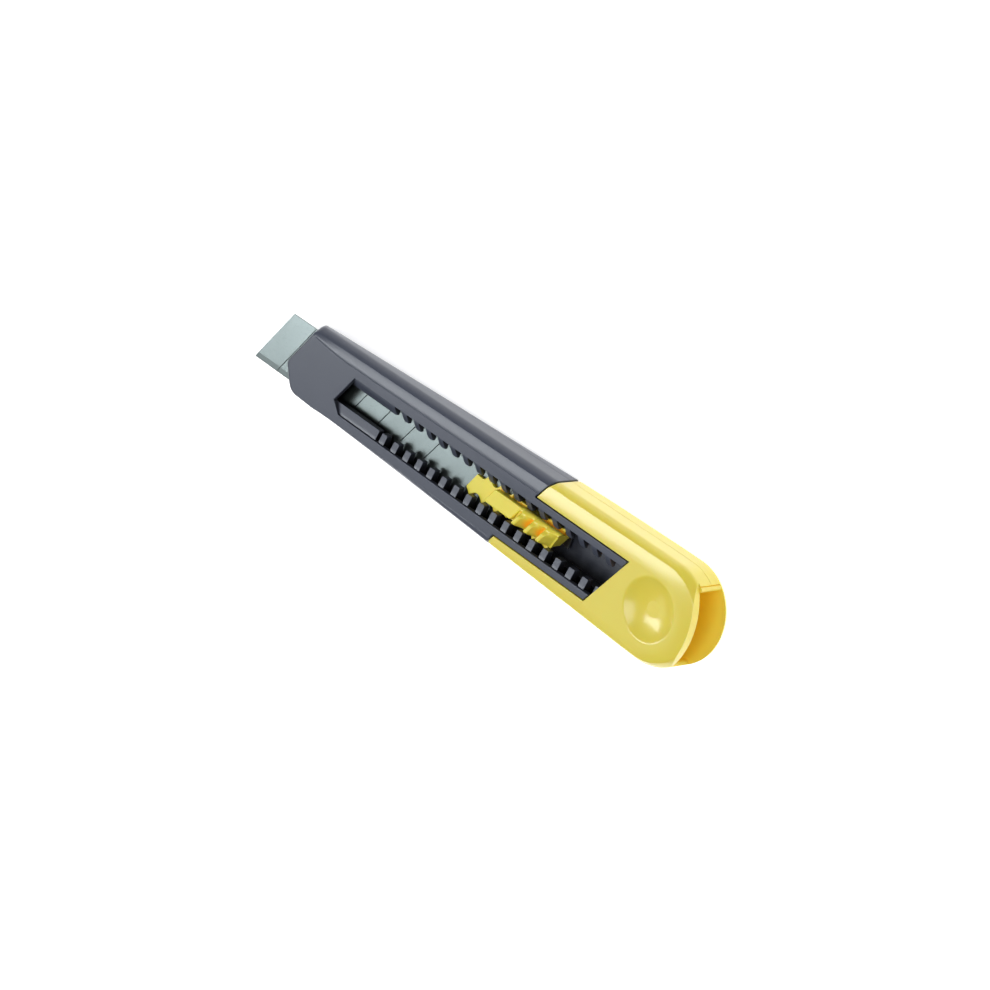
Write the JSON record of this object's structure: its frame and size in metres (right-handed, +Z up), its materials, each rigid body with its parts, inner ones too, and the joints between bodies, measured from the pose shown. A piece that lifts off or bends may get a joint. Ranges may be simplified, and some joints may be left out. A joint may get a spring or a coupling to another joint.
{
  "type": "snap off knife",
  "caption": "Hand-held utility knife with a scored snap-off blade, a toothed thumb slider in an open window and a pull-off rear cover.",
  "frame": {"origin": "middle of the bounding box, on the plane of the flat back", "axes": "+X from the blade tip to the rounded rear end, +Y from the cutting edge to the spine of the blade, +Z up out of the window face"},
  "size_m": [0.1782, 0.0288, 0.0123],
  "materials": {
    "body_plastic": "satin dark blue-grey",
    "cover_plastic": "soft gloss yellow",
    "slider_plastic": "soft gloss golden yellow",
    "blade_steel": "bright ground steel",
    "spring_steel": "plain spring steel"
  },
  "bodies": {
    "housing": {"body_shell": "body_plastic"},
    "cover": {"rear_cover": "cover_plastic"},
    "slider": {"blade_segment_1": "blade_steel", "blade_segment_2": "blade_steel", "blade_segment_3": "blade_steel", "blade_segment_4": "blade_steel", "blade_segment_5": "blade_steel", "blade_segment_6": "blade_steel", "blade_segment_7": "blade_steel", "blade_tail": "blade_steel", "blade_carrier": "slider_plastic", "lock_spring": "spring_steel"},
    "grip": {"thumb_grip": "slider_plastic"}
  },
  "joints": [
    {"name": "slider_travel", "type": "slide", "parent": "housing", "child": "slider", "axis": [1, 0, 0], "range_m": [-0.05, 0.02]},
    {"name": "thumb_press", "type": "slide", "parent": "slider", "child": "grip", "axis": [0, 0, -1], "range_m": [0, 0.001], "stiffness_N_per_m": 2000},
    {"name": "rear_cover_pull", "type": "slide", "parent": "housing", "child": "cover", "axis": [1, 0, 0], "range_m": [0, 0.056]}
  ]
}
